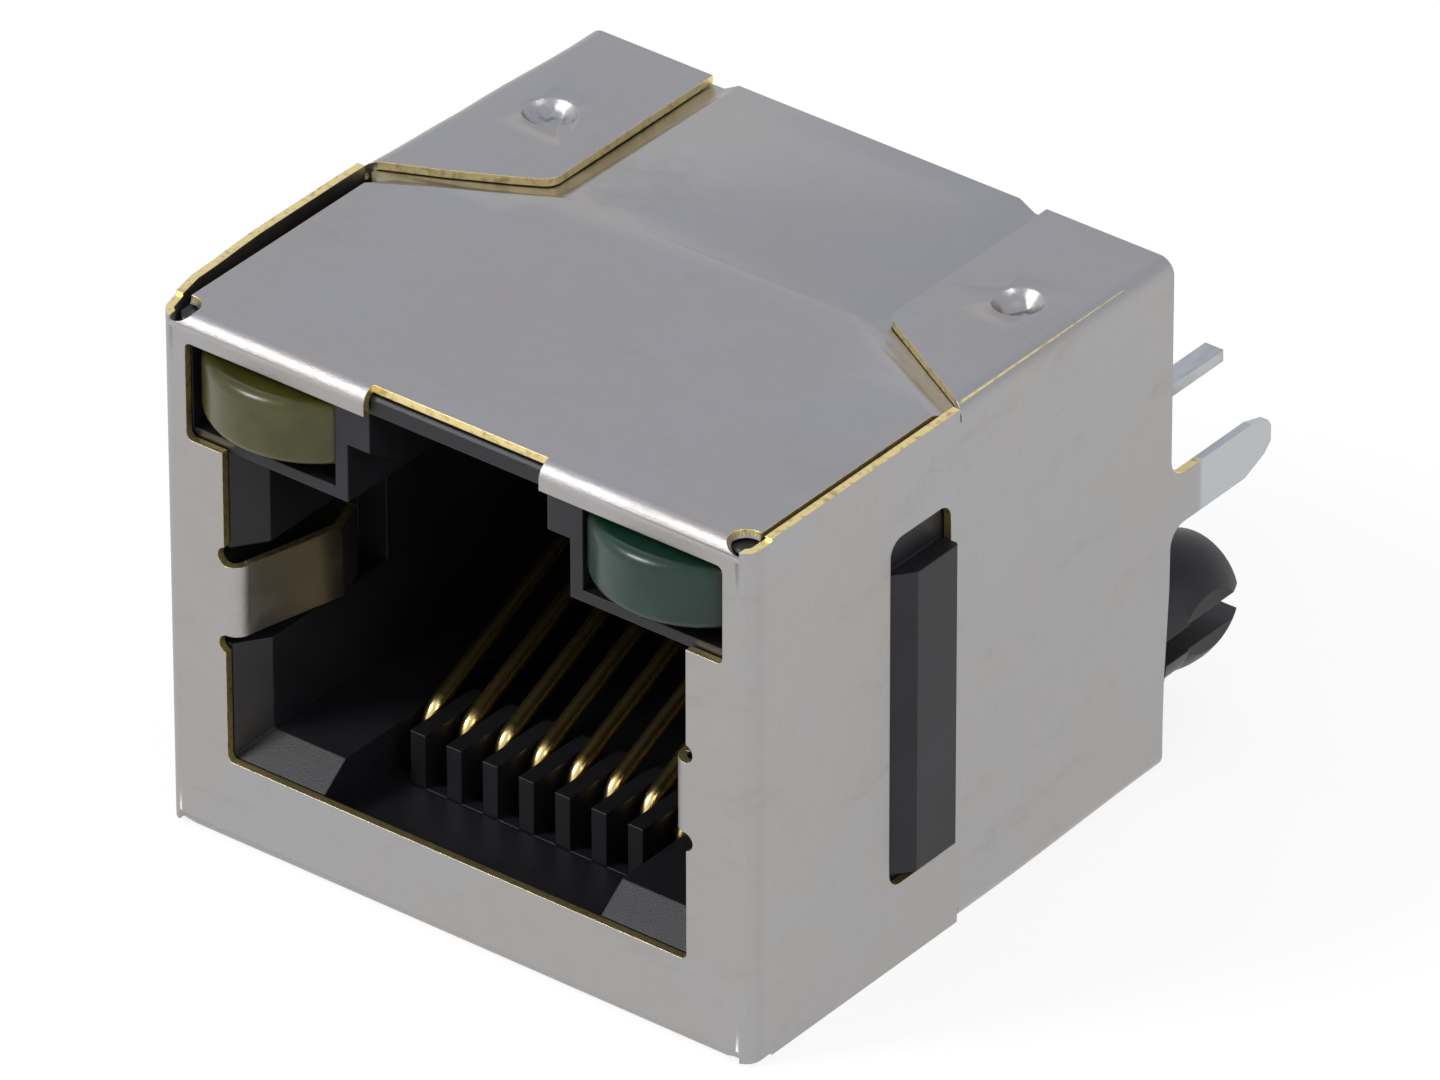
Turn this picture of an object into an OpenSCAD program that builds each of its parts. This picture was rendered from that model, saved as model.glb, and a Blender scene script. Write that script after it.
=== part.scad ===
// Upright (top entry) modular jack with a folded shield, sprung contacts and two lamps.
// Origin: on the board face, midway between the two pegs.
// +Y points into the board, -Y out of the mouth, +Z to the latch side. Millimetres.

/* [Body] */
// Width over the shield's side walls
body_w = 16.3; // [15.5:0.05:17.5]
// Height over the shield's top and bottom walls
body_h = 13.35; // [12.8:0.05:14.5]
// Depth from the front face to the board face
body_d = 15.15; // [14.5:0.05:18]

/* [Shield sheet] */
// Sheet thickness
sheet_t = 0.2; // [0.15:0.01:0.3]
// Outside radius of each fold
fold_r = 0.4; // [0.3:0.05:0.8]
// Gap of the open seam between a roof edge and a side wall
seam_gap = 0.09; // [0.05:0.01:0.4]
// How far the shield stops short of the board face
shield_back = 0.05; // [0:0.01:0.3]
// Radius of the roof's relief notch at each front corner
corner_relief_r = 0.42; // [0.3:0.02:0.7]
// Distance of that notch's middle from the front and the side
corner_relief_in = 0.38; // [0.2:0.01:0.5]
// How far the folded corner's edge stays under the roof
corner_drop = 0.12; // [0.05:0.01:0.3]

/* [Shield openings] */
// Half width of the plug mouth
mouth_half = 6.42; // [6.1:0.02:7]
// Height of the mouth's lower edge
mouth_z = 2.23; // [1.8:0.01:2.8]
// Width of the post beside a lamp window
post_w = 0.73; // [0.45:0.01:1.2]
// Height of the lamp windows
window_h = 2.48; // [2:0.02:3]
// Height of the front wall above the lamp windows
brow_h = 0.65; // [0.4:0.01:1]
// Half width of the latch cut through the front fold
latch_cut_half = 2.42; // [2:0.02:3.2]
// How far the latch cut runs into the roof
latch_cut_depth = 0.36; // [0.3:0.02:1]
// Corner radius of the openings
opening_r = 0.16; // [0.1:0.02:0.4]

/* [Ground fingers] */
// Height of a finger's lower edge
finger_z0 = 5.52; // [4.5:0.02:6]
// Finger width
finger_w = 1.8; // [1.5:0.05:3]
// Radius of the relief notch at each side of a finger
finger_notch_r = 0.24; // [0.1:0.02:0.3]
// Length of the inward sloping blade
finger_len = 2.5; // [2:0.1:4]
// Slope of the blade
finger_slope = 14; // [2:0.5:20]
// Length of the turned out tip
finger_tip = 1; // [0.5:0.1:1.5]
// Angle between the blade and its tip
finger_tip_turn = 34; // [10:1:40]

/* [Flaps] */
// Where the open seam ends and a flap's fold begins, from the front face
flap_y = 7.45; // [6:0.05:9]
// Relief slit between the seam's wall edge and the start of a flap's fold
flap_relief = 0.05; // [0.03:0.01:0.3]
// Distance of a flap's inner edge from the middle plane
flap_inner = 4.65; // [3.5:0.05:6]
// Slant of a flap's front edge
flap_slant = 29.5; // [20:0.5:40]
// Corner radius at the inner front end of a flap
flap_corner_r = 0.45; // [0.2:0.05:0.8]
// Clearance between a flap and the sunk sheet under it
lap_gap = 0.03; // [0.02:0.01:0.1]
// Width of the sloping step around the sunk sheet
jog_run = 0.42; // [0.2:0.02:0.6]
// Distance from a flap's edge to the top of the step
jog_clear = 0.74; // [0.32:0.01:1]
// Distance of the crimp dimple from the middle plane
dimple_x = 6.48; // [5.5:0.02:7.2]
// Distance of the crimp dimple from the front face
dimple_y = 11.65; // [9:0.05:13.5]
// Rim radius of the crimp dimple
dimple_r = 0.62; // [0.4:0.02:0.9]
// Depth of the crimp dimple
dimple_depth = 0.34; // [0.2:0.02:0.5]

/* [Side windows] */
// Distance of a window from the front face
side_window_y = 4.95; // [4:0.05:6]
// Length of a window along the depth
side_window_w = 2.15; // [1.5:0.02:3]
// Height of a window's lower end
side_window_z0 = 2.15; // [1.5:0.05:3]
// Distance of a window's upper end from the top
side_window_top = 2.25; // [1.5:0.05:4]
// Corner radius of a window
side_window_r = 0.4; // [0.1:0.05:0.6]

/* [Board tabs] */
// Height of a tab's lower edge
tab_z0 = 6.36; // [5:0.05:8]
// Tab width
tab_w = 1.3; // [1:0.05:2]
// How far a tab reaches past the board face
tab_len = 3.65; // [2.5:0.05:4.5]
// Length of the rounded nose of a tab
tab_nose = 0.95; // [0.3:0.05:1.5]
// Root fillet of a tab
tab_fillet = 0.5; // [0.2:0.05:0.9]

/* [Housing] */
// Clearance between the shield and the housing
housing_gap = 0.05; // [0.02:0.01:0.15]
// Half width of the plug cavity
cavity_half = 5.9; // [5.85:0.01:6.1]
// Top of the floor rails that the plug slides on
rail_z = 2.8; // [2.4:0.02:3]
// Half width of the channel between the floor rails
rail_half = 3.87; // [3.8:0.01:4.4]
// Floor height between the rails
floor_z = 1.65; // [1.3:0.05:2]
// How far the webs below the lamps hang under the windows' lower edge
web_drop = 0.08; // [0:0.01:0.4]
// Thickness of those webs
web_t = 0.28; // [0.2:0.02:0.5]
// Half width of the latch channel
latch_half = 3.08; // [3:0.02:3.4]
// Thickness of the wall between the latch channel and a lamp pocket
latch_wall = 0.34; // [0.25:0.02:0.6]
// Distance of the latch channel's ceiling from the top
latch_top = 0.69; // [0.5:0.01:1.2]
// Half width between the two latch catches
catch_half = 2.46; // [2.4:0.02:2.8]
// Height of a catch at the mouth
catch_h = 1.04; // [0.6:0.02:1.6]
// Drop of that edge over the catch
catch_drop = 0.78; // [0.3:0.02:1]
// Length of a catch along the depth
catch_len = 1.25; // [0.8:0.05:2]
// Depth of the plug cavity from the front face
cavity_d = 12.2; // [11:0.1:13]
// Length of the sloping lead-in at the mouth
lead_in = 0.75; // [0.4:0.05:1.5]
// Depth of the recess behind a ground finger
finger_pocket_d = 5; // [4:0.1:6]
// Half width across both of those recesses
finger_pocket_half = 6.72; // [6.5:0.02:7]
// Clearance above and below a finger in its recess
finger_room = 0.35; // [0.1:0.05:0.6]
// Distance from the top of a rib to the upper end of its side window
rib_short = 0.95; // [0.1:0.05:3]
// How far a rib stands proud of the side wall
rib_proud = 0.25; // [0.05:0.01:0.4]
// Length of a rib's sloping front
rib_ramp = 0.55; // [0.3:0.05:1]

/* [Rear of the housing] */
// Recess of the rear behind its standoff pads
standoff_h = 0.3; // [0.1:0.05:0.6]
// Half width of the pocket that takes the contact carrier's rear plate
carrier_half = 4.6; // [4.4:0.05:5.5]
// Top of that pocket
carrier_top = 7.5; // [7:0.05:8]
// Depth of the rear pocket from the board face
rear_pocket = 2; // [1.6:0.05:2.4]
// Width of an upper standoff pad
pad_w = 1.7; // [1:0.05:2]
// Height of an upper standoff pad
pad_h = 1.3; // [0.8:0.05:2]
// Distance from the leads' middle to the pad above them
pad_rise = 0.44; // [0.25:0.01:1]
// Width of the lower standoff pad
foot_w = 6; // [3:0.1:8]
// Height of the lower standoff pad
foot_h = 1.2; // [0.8:0.05:2]

/* [Pegs] */
// Peg spacing
peg_pitch = 12.7; // [11.43:0.01:12.7]
// Height of the pegs above the bottom
peg_z = 2.74; // [2.4:0.02:3.2]
// Peg neck radius
peg_r = 1.45; // [1.2:0.01:1.6]
// Barb radius
barb_r = 1.55; // [1.25:0.01:1.75]
// Length of the neck from the board face
neck_len = 1.25; // [1:0.05:2]
// Peg length from the board face
peg_len = 3.3; // [2.8:0.05:4]
// Radius of the barb's curve seen from the side
barb_curve_r = 2.6; // [1.8:0.1:6]
// How far the barb's widest point lies from its middle towards the neck
barb_lead = 0.2; // [0:0.05:0.6]
// Half width across the flats beside the barb
peg_flat = 1.36; // [1.2:0.01:1.6]
// Width of the slot that lets the peg close
peg_slot = 0.65; // [0.4:0.05:0.8]
// Radius of the standoff pad round a peg's root
peg_pad_r = 1.7; // [1.5:0.05:1.75]

/* [Contacts] */
// Contact spacing
contact_pitch = 1.016; // [1:0.001:1.27]
// Contact wire diameter
wire_d = 0.4; // [0.3:0.01:0.5]
// Height of the wire's middle under the floor
contact_run_z = 0.98; // [0.8:0.02:1.2]
// Distance from the front face to the middle of the upper front bend
contact_bend_y = 4.24; // [3.8:0.01:5]
// Height of the middle of the upper front bend
contact_bend_z = 2.34; // [2:0.01:2.6]
// Radius of the upper front bend at the wire's middle
contact_bend_r = 0.72; // [0.5:0.01:1]
// Radius of the lower front bend at the wire's middle
contact_foot_r = 0.6; // [0.4:0.01:1]
// Rise of the sprung arm
contact_rise = 24.2; // [18:0.1:32]
// Length of the sprung arm
contact_arm = 5.3; // [4:0.1:8]
// Radius of the bend near the arm's end
contact_end_r = 0.6; // [0.4:0.05:1]
// Fall of the arm's end
contact_fall = 12; // [5:1:30]
// Length of the turned down end of the arm
contact_end = 0.9; // [0.3:0.1:1.5]
// Radius of the two rear bends
tail_bend_r = 0.45; // [0.3:0.05:0.6]
// Distance from the board face to the rising part of a tail
tail_rise_y = 1.1; // [0.9:0.05:1.5]
// Height of the lower row of tails above the bottom
tail_row_z = 3.95; // [3.6:0.05:4.2]
// Spacing of the two rows of tails
tail_row_pitch = 2.54; // [2:0.01:2.54]
// How far the tails reach past the board face
tail_len = 3.3; // [2.5:0.05:4]

/* [Contact carrier] */
// Distance from the front face to the comb
comb_y = 2.5; // [2:0.05:3]
// Length of the comb teeth along the depth
comb_len = 2.2; // [1.5:0.05:3]
// Height of the comb teeth's tops above the bottom
comb_z = 3.02; // [2.8:0.02:3.2]
// Width of a comb tooth
comb_tooth = 0.42; // [0.3:0.01:0.5]
// Thickness of the web across the front of the comb's gaps
comb_web = 0.35; // [0.2:0.05:0.6]
// Thickness of the skin under the comb's gaps
carrier_skin = 0.2; // [0.15:0.01:0.3]
// Clearance around each wire in its channel
wire_gap = 0.03; // [0.02:0.01:0.1]
// Underside of the carrier above the bottom
carrier_z0 = 0.5; // [0.4:0.05:0.7]
// Clearance between the carrier and the housing
carrier_gap = 0.04; // [0.02:0.01:0.1]

/* [Lamps] */
// Clearance between a lamp and the wall of the latch channel
lamp_gap_in = 0.02; // [0.01:0.01:0.2]
// Clearance between a lamp and the outer side of its pocket
lamp_gap_out = 0.14; // [0.02:0.01:0.3]
// Lamp height
lamp_h = 1.62; // [1.5:0.02:2]
// Gap under a lamp
lamp_lift = 0.4; // [0.05:0.01:0.4]
// How far a lamp's nose stands out of the front face
lamp_proud = 0.47; // [0.1:0.01:0.8]
// Radius of the nose seen from above
lamp_nose_r = 2.6; // [2:0.05:4]
// Lamp depth behind the front face
lamp_d = 4.6; // [3.5:0.1:6]
// Rounding of the lens edges
lamp_edge_r = 0.26; // [0.1:0.02:0.4]
// Lead width
lead_w = 0.5; // [0.4:0.02:0.6]
// Lead thickness
lead_t = 0.3; // [0.25:0.02:0.5]
// Lead spacing
lead_pitch = 2.54; // [2:0.01:2.54]
// Height of the leads at the board
lead_out_z = 8.66; // [8.2:0.05:9.5]
// Distance from the board face to the leads' step down
lead_step_y = 1.3; // [1:0.05:2]
// How far the leads reach past the board face
lead_len = 3.55; // [2.5:0.05:4]
// Radius of the leads' bends
lead_bend_r = 0.3; // [0.2:0.02:0.5]
// Clearance around a lead in its channel
lead_gap = 0.06; // [0.02:0.01:0.1]
// Length of a lead inside its lamp
lead_grip = 1.2; // [0.6:0.1:2]

/* [Hidden] */
$fn = 64;
e = 0.01;
big = 40;
half_w = body_w / 2;
roof_edge = half_w - sheet_t - seam_gap;
window_half = half_w - post_w;
window_z1 = body_h - brow_h;
window_z0 = window_z1 - window_h;
side_window_z1 = body_h - side_window_top;
rib_top = side_window_z1 - rib_short;
web_z0 = window_z0 - web_drop;
latch_z1 = body_h - latch_top;
catch_z = latch_z1 - catch_h;
lap_drop = sheet_t + lap_gap;
jog_angle = atan(lap_drop / jog_run);
jog_shift = sheet_t * tan(jog_angle / 2);
jog_x = flap_inner - jog_clear;
housing_half = half_w - sheet_t - housing_gap;
housing_y0 = sheet_t + housing_gap;
housing_z0 = sheet_t + housing_gap;
housing_z1 = body_h - housing_z0;
housing_y1 = body_d - standoff_h;
shield_y1 = body_d - shield_back;
lamp_z0 = web_z0 + web_t + lamp_lift;
lamp_mid_z = lamp_z0 + lamp_h / 2;
lamp_floor = web_z0 + web_t;
lamp_inner = latch_half + latch_wall;
lamp_w = window_half - lamp_inner - lamp_gap_in - lamp_gap_out;
lamp_x = lamp_inner + lamp_gap_in + lamp_w / 2;
pocket_back = lamp_d + 0.1;
contact_count = 8;
contact_front = contact_bend_y - contact_bend_r;
pocket_y = body_d - rear_pocket;
tail_rise = body_d - tail_rise_y;
lead_step = body_d - lead_step_y;
pad_sink = 0.5;
peg_base = housing_y1 - pad_sink;
dimple_sphere = (dimple_r * dimple_r + dimple_depth * dimple_depth) / (2 * dimple_depth);
shield_color = [0.74, 0.72, 0.68];
plastic_color = [0.09, 0.09, 0.1];
carrier_color = [0.11, 0.11, 0.12];
gold_color = [0.83, 0.68, 0.3];
tin_color = [0.78, 0.78, 0.8];
yellow_color = [0.62, 0.6, 0.2];
green_color = [0.16, 0.42, 0.3];

// ---- helpers ----

// Everything is drawn with y = 0 on the front face and z = 0 on the bottom, then set on the board frame.
module on_board() {
    translate([0, -body_d, -peg_z]) children();
}

module both_sides() {
    children();
    mirror([1, 0, 0]) children();
}

module top_and_bottom() {
    children();
    translate([0, 0, body_h]) mirror([0, 0, 1]) children();
}

// A box from its low corner to its high corner.
module span(low, high) {
    translate(low) cube(high - low);
}

// A rectangle from corner to corner with round corners.
module round_rect(low, high, r) {
    translate([low[0] + r, low[1]]) square([high[0] - low[0] - 2 * r, high[1] - low[1]]);
    translate([low[0], low[1] + r]) square([high[0] - low[0], high[1] - low[1] - 2 * r]);
    for (x = [low[0] + r, high[0] - r])
        for (y = [low[1] + r, high[1] - r])
            translate([x, y]) circle(r);
}

// Draws a profile of (x, z) as a solid that runs along the depth from y0 to y1.
module along_depth(y0, y1) {
    translate([0, y1, 0]) rotate([90, 0, 0]) linear_extrude(y1 - y0) children();
}

// Draws a profile of (y, z) as a solid that runs across the width from x0 to x1.
module across_width(x0, x1) {
    translate([x0, 0, 0]) rotate([90, 0, 90]) linear_extrude(x1 - x0) children();
}

// ---- shield ----

// A sheet wall that comes round a fold: a corner of radius fold_r, inner face at sheet_t.
module fold_ring(turn, length) {
    rotate([0, 0, turn]) linear_extrude(length) intersection() {
        difference() {
            circle(fold_r);
            circle(fold_r - sheet_t);
        }
        square(fold_r + 1);
    }
}

// Front wall with the two side walls, as one strip folded at the front corners.
module wrap() {
    span([-half_w + fold_r, 0, fold_r], [half_w - fold_r, sheet_t, body_h - fold_r]);
    both_sides() {
        translate([half_w - fold_r, fold_r, fold_r]) fold_ring(-90, body_h - 2 * fold_r);
        intersection() {
            translate([half_w - fold_r, fold_r, corner_drop]) fold_ring(-90, body_h - 2 * corner_drop);
            span([roof_edge, -1, 0], [half_w + 1, fold_r + 1, body_h]);
        }
        span([half_w - sheet_t, fold_r, fold_r], [half_w, shield_y1, body_h - fold_r]);
        span([half_w - sheet_t, fold_r - e, corner_drop],
            [half_w, flap_y - flap_relief, body_h - corner_drop]);
        span([half_w - sheet_t, 2 * fold_r, sheet_t / 4],
            [half_w, flap_y - flap_relief, body_h - sheet_t / 4]);
    }
}

// Cross-section of the region that is sunk under a flap: 0 is the top of the step.
module sunk_profile() {
    polygon([[0, 1], [0, 0], [jog_run, -lap_drop], [big, -lap_drop], [big, 1]]);
}

module sunk_back_profile() {
    polygon([
        [-jog_shift, 0], [-jog_shift, -sheet_t],
        [jog_run - jog_shift, -lap_drop - sheet_t], [big, -lap_drop - sheet_t], [big, 0]
    ]);
}

// The sunk region of the roof: the common part of an inner, a front and a corner step.
module sunk_region() {
    front_x = half_w;
    front_y = flap_y - jog_clear / cos(flap_slant);
    cross_y = front_y + (front_x - jog_x) * tan(flap_slant);
    intersection() {
        translate([jog_x, big, body_h]) rotate([90, 0, 0]) linear_extrude(2 * big) children();
        translate([front_x, front_y, body_h]) rotate([0, 0, 90 - flap_slant])
            translate([0, big, 0]) rotate([90, 0, 0]) linear_extrude(2 * big) children();
        translate([jog_x + flap_corner_r * 0.2, cross_y - flap_corner_r * 0.1, body_h])
            rotate([0, 0, 45 - flap_slant / 2])
            translate([0, big, 0]) rotate([90, 0, 0]) linear_extrude(2 * big) children();
    }
}

// Roof sheet with its front fold, the sunk sheet under each flap and a notch at each front corner.
module roof() {
    difference() {
        union() {
            translate([-roof_edge, fold_r, body_h - fold_r]) rotate([0, 90, 0])
                fold_ring(180, 2 * roof_edge);
            span([-roof_edge, fold_r, body_h - sheet_t], [roof_edge, shield_y1, body_h]);
            both_sides() intersection() {
                sunk_region() sunk_back_profile();
                span([0, fold_r, 0], [roof_edge, shield_y1, body_h]);
            }
        }
        both_sides() sunk_region() sunk_profile();
        both_sides() translate([half_w - corner_relief_in, corner_relief_in, body_h])
            sphere(corner_relief_r);
    }
}

// Outline of a flap seen from above, from the wall inwards.
module flap_outline() {
    inner_y = flap_y + (half_w - flap_inner) * tan(flap_slant);
    tangent = flap_corner_r * tan((90 - flap_slant) / 2);
    difference() {
        polygon([
            [half_w + 1, flap_y - tan(flap_slant)], [half_w + 1, shield_y1],
            [flap_inner, shield_y1], [flap_inner, inner_y]
        ]);
        difference() {
            polygon([
                [flap_inner, inner_y], [flap_inner - 1, inner_y], [flap_inner, inner_y - 1],
                [flap_inner + tangent * cos(flap_slant), inner_y - tangent * sin(flap_slant)],
                [flap_inner + flap_corner_r, inner_y + tangent], [flap_inner, inner_y + tangent]
            ]);
            translate([flap_inner + flap_corner_r, inner_y + tangent]) circle(flap_corner_r);
        }
    }
}

// Flap that folds off the side wall over the roof.
module flap() {
    intersection() {
        union() {
            translate([half_w - fold_r, flap_y - 1, body_h - fold_r])
                rotate([-90, 0, 0]) fold_ring(-90, body_d - flap_y + 1 - shield_back);
            span([0, flap_y - 1, body_h - sheet_t], [half_w - fold_r, shield_y1, body_h]);
        }
        linear_extrude(body_h + 1) flap_outline();
    }
}

// Ground finger: a quarter fold at the mouth's edge, a sloping blade and a turned out tip.
module finger() {
    translate([mouth_half - 0.02, 0, finger_z0]) {
        linear_extrude(finger_w) {
            square([0.1, sheet_t]);
            translate([0, fold_r]) intersection() {
                difference() {
                    circle(fold_r);
                    circle(fold_r - sheet_t);
                }
                translate([-1, -1]) square(1);
            }
            translate([-fold_r, fold_r]) rotate([0, 0, finger_slope]) {
                translate([0, -0.02]) square([sheet_t, finger_len + 0.02]);
                translate([0, finger_len]) rotate([0, 0, -finger_tip_turn])
                    square([sheet_t, finger_tip]);
            }
        }
    }
}

// Board tab on the side wall's rear edge.
module tab() {
    tab_end = body_d + tab_len;
    translate([half_w, 0, 0]) rotate([0, -90, 0]) linear_extrude(sheet_t) {
        translate([tab_z0, shield_y1 - 1]) square([tab_w, tab_end - tab_nose - shield_y1 + 1]);
        translate([tab_z0 + tab_w / 2, 0]) polygon([
            [-tab_w / 2, tab_end - tab_nose - 0.01], [tab_w / 2, tab_end - tab_nose - 0.01],
            [tab_w / 2, tab_end - tab_nose + 0.2], [tab_w * 0.36, tab_end - 0.12],
            [tab_w * 0.22, tab_end], [-tab_w * 0.1, tab_end], [-tab_w * 0.28, tab_end - 0.25]
        ]);
        for (side = [-1, 1])
            translate([tab_z0 + tab_w / 2, shield_y1]) mirror([side < 0 ? 1 : 0, 0]) difference() {
                translate([tab_w / 2 - e, -0.1]) square([tab_fillet + e, tab_fillet + 0.1]);
                translate([tab_w / 2 + tab_fillet, tab_fillet]) circle(tab_fillet);
            }
    }
}

module front_openings() {
    across = [-mouth_half, mouth_half];
    along_depth(-1, fold_r) {
        round_rect([across[0], mouth_z], [across[1], window_z0 + 1], opening_r);
        round_rect([-window_half, window_z0], [window_half, window_z1], opening_r);
        for (s = [-1, 1])
            for (z = [finger_z0 - finger_notch_r, finger_z0 + finger_w + finger_notch_r]) {
                translate([s * (mouth_half - 0.06), z]) circle(finger_notch_r);
            }
    }
    span([-latch_cut_half, -1, window_z1 - 1], [latch_cut_half, latch_cut_depth, body_h + 1]);
}

module side_window() {
    across_width(half_w - 1, half_w + 1)
        round_rect(
            [side_window_y, side_window_z0],
            [side_window_y + side_window_w, side_window_z1], side_window_r
        );
}

module dimple_at(shift) {
    translate([dimple_x, dimple_y, body_h + dimple_sphere - dimple_depth]) sphere(dimple_sphere + shift);
}

// The pressed in side of the crimp, through both layers.
module dimple_back() {
    intersection() {
        dimple_at(sheet_t);
        span([dimple_x - 1, dimple_y - 1, body_h - 1],
            [dimple_x + 1, dimple_y + 1, body_h - sheet_t / 2]);
    }
}

module shield() {
    color(shield_color) on_board() {
        difference() {
            union() {
                wrap();
                top_and_bottom() roof();
                top_and_bottom() both_sides() flap();
                top_and_bottom() both_sides() dimple_back();
                both_sides() tab();
            }
            front_openings();
            both_sides() side_window();
            top_and_bottom() both_sides() dimple_at(0);
        }
        both_sides() finger();
    }
}

// ---- housing ----

module housing_block() {
    difference() {
        span([-housing_half, housing_y0, housing_z0], [housing_half, housing_y1, housing_z1]);
        top_and_bottom() both_sides() translate([-housing_gap, -housing_gap, -housing_gap])
            sunk_region() sunk_back_profile();
        // Front edges clear the insides of the shield's folds.
        both_sides() translate([housing_half, housing_y0, body_h / 2]) rotate([0, 0, 45])
            cube([0.3, 0.3, 2 * body_h], center = true);
        top_and_bottom() translate([0, housing_y0, housing_z0]) rotate([45, 0, 0])
            cube([2 * body_w, 0.1, 0.1], center = true);
        // Room for the crimps.
        top_and_bottom() both_sides() dimple_at(sheet_t + housing_gap + 0.05);
    }
}

// Plug cavity: straight walls, with a sloping lead-in round the mouth.
module plug_cavity() {
    span([-cavity_half, -1, rail_z], [cavity_half, cavity_d, web_z0]);
    translate([0, housing_y0, 0]) intersection() {
        linear_extrude(web_z0) polygon([
            [-mouth_half, -1], [mouth_half, -1], [mouth_half, 0], [cavity_half, lead_in],
            [-cavity_half, lead_in], [-mouth_half, 0]
        ]);
        across_width(-body_w, body_w) polygon([
            [-1, body_h], [-1, mouth_z], [0, mouth_z], [lead_in, rail_z], [lead_in, body_h]
        ]);
    }
    span([-rail_half, -1, floor_z], [rail_half, cavity_d, rail_z + 1]);
}

// Channel for the plug's latch, with a sloping catch at each side of the mouth.
module latch_channel() {
    difference() {
        span([-latch_half, -1, web_z0 - 1], [latch_half, cavity_d, latch_z1]);
        both_sides() across_width(catch_half, latch_half + 1) polygon([
            [-2, catch_z], [housing_y0, catch_z], [housing_y0 + catch_len, catch_z - catch_drop],
            [housing_y0 + catch_len, latch_z1 + 1], [-2, latch_z1 + 1]
        ]);
    }
}

// Pocket for one lamp, with a channel for each of its leads.
module lamp_pocket() {
    span([lamp_inner, -1, lamp_floor], [window_half, pocket_back, latch_z1 + 0.1]);
    for (s = [-1, 1]) {
        x = lamp_x + s * lead_pitch / 2;
        slot = lead_w / 2 + lead_gap;
        span([x - slot, pocket_back - 1, lamp_mid_z - lead_t / 2 - lead_gap],
            [x + slot, lead_step + lead_t, latch_z1 + 0.1]);
        span([x - slot, lead_step - lead_bend_r - lead_gap, lead_out_z - lead_t / 2 - lead_gap],
            [x + slot, body_d + 1, latch_z1 + 0.1]);
    }
}

// Recess behind one ground finger.
module finger_pocket() {
    span([cavity_half - 1, -1, finger_z0 - finger_room],
        [finger_pocket_half, finger_pocket_d, finger_z0 + finger_w + finger_room]);
}

// Rib that snaps into a side window.
module rib() {
    y0 = side_window_y + 0.04;
    y1 = side_window_y + side_window_w - 0.04;
    outer = half_w + rib_proud;
    z0 = side_window_z0 + 0.7 * side_window_r;
    translate([0, 0, z0]) linear_extrude(rib_top - z0) polygon([
        [housing_half - 0.5, y0], [housing_half, y0], [half_w - sheet_t, y0 + 0.02],
        [outer - 0.04, y0 + rib_ramp], [outer, y0 + rib_ramp + 0.06],
        [outer, y1 - 0.06], [outer - 0.06, y1], [housing_half - 0.5, y1]
    ]);
}

// Split snap peg turned about its own axis: a straight neck, then a barb with a curved side.
module peg() {
    neck_end = body_d + neck_len;
    peg_end = body_d + peg_len;
    translate([peg_pitch / 2, 0, peg_z]) difference() {
        intersection() {
            rotate([-90, 0, 0]) rotate_extrude() {
                translate([0, peg_base]) square([peg_r, neck_end - peg_base]);
                intersection() {
                    translate([0, neck_end - e]) square([barb_r, peg_end - neck_end + e]);
                    translate([barb_r - barb_curve_r, (neck_end + peg_end) / 2 - barb_lead])
                        circle(barb_curve_r);
                }
            }
            union() {
                span([-big, 0, -big], [big, neck_end, big]);
                span([-peg_flat, neck_end - e, -big], [peg_flat, peg_end + 1, big]);
            }
        }
        span([-big, peg_base - 1, -peg_slot / 2], [big, peg_end + 1, peg_slot / 2]);
    }
}

// Round standoff pad at a peg's root, flush with the board face.
module peg_pad() {
    translate([peg_pitch / 2, peg_base, peg_z]) rotate([-90, 0, 0])
        cylinder(r = peg_pad_r, h = body_d - peg_base);
}

// A peg with its pad, which stays inside the housing's side.
module seated_peg() {
    intersection() {
        union() {
            peg();
            peg_pad();
        }
        union() {
            span([-housing_half, 0, 0], [housing_half, body_d, body_h]);
            span([-big, body_d - e, -big], [big, big, big]);
        }
    }
}

module rear_pads() {
    pad_z0 = lead_out_z + pad_rise;
    both_sides()
        span([lamp_x - pad_w / 2, peg_base, pad_z0], [lamp_x + pad_w / 2, body_d, pad_z0 + pad_h]);
}

// Pocket for the contact carrier: its base slides in under the floor, its plate fills the rear.
module carrier_pocket() {
    span([-rail_half, comb_y - carrier_gap, carrier_z0 - carrier_gap], [rail_half, body_d, rail_z + 1]);
    span([-carrier_half, pocket_y, carrier_z0 - carrier_gap], [carrier_half, body_d + 1, carrier_top]);
}

module housing() {
    color(plastic_color) on_board() {
        difference() {
            housing_block();
            plug_cavity();
            latch_channel();
            both_sides() lamp_pocket();
            both_sides() finger_pocket();
            carrier_pocket();
        }
        both_sides() rib();
        both_sides() seated_peg();
        rear_pads();
    }
}

// ---- contacts ----

// One straight stretch of flat wire, width w and thickness t, running along +Y from the origin.
module flat_run(length, w, t) {
    translate([-w / 2, 0, -t / 2]) cube([w, length, t]);
}

// An arc of flat wire in its own plane, from the x axis through a quarter turn at radius r.
module flat_quarter(r, t) {
    intersection() {
        difference() {
            circle(r + t / 2);
            circle(r - t / 2);
        }
        square(2 * (r + t));
    }
}

// One straight stretch of round wire, running along +Y from the origin.
module wire_run(length, d) {
    rotate([-90, 0, 0]) cylinder(d = d, h = length);
}

// Round wire bent through turn degrees at radius r: it leaves the origin along +Y and bends up.
module wire_bend(turn, r, d) {
    translate([0, 0, r]) rotate([0, 90, 0]) rotate_extrude(angle = turn) translate([r, 0]) circle(d = d);
}

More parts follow.
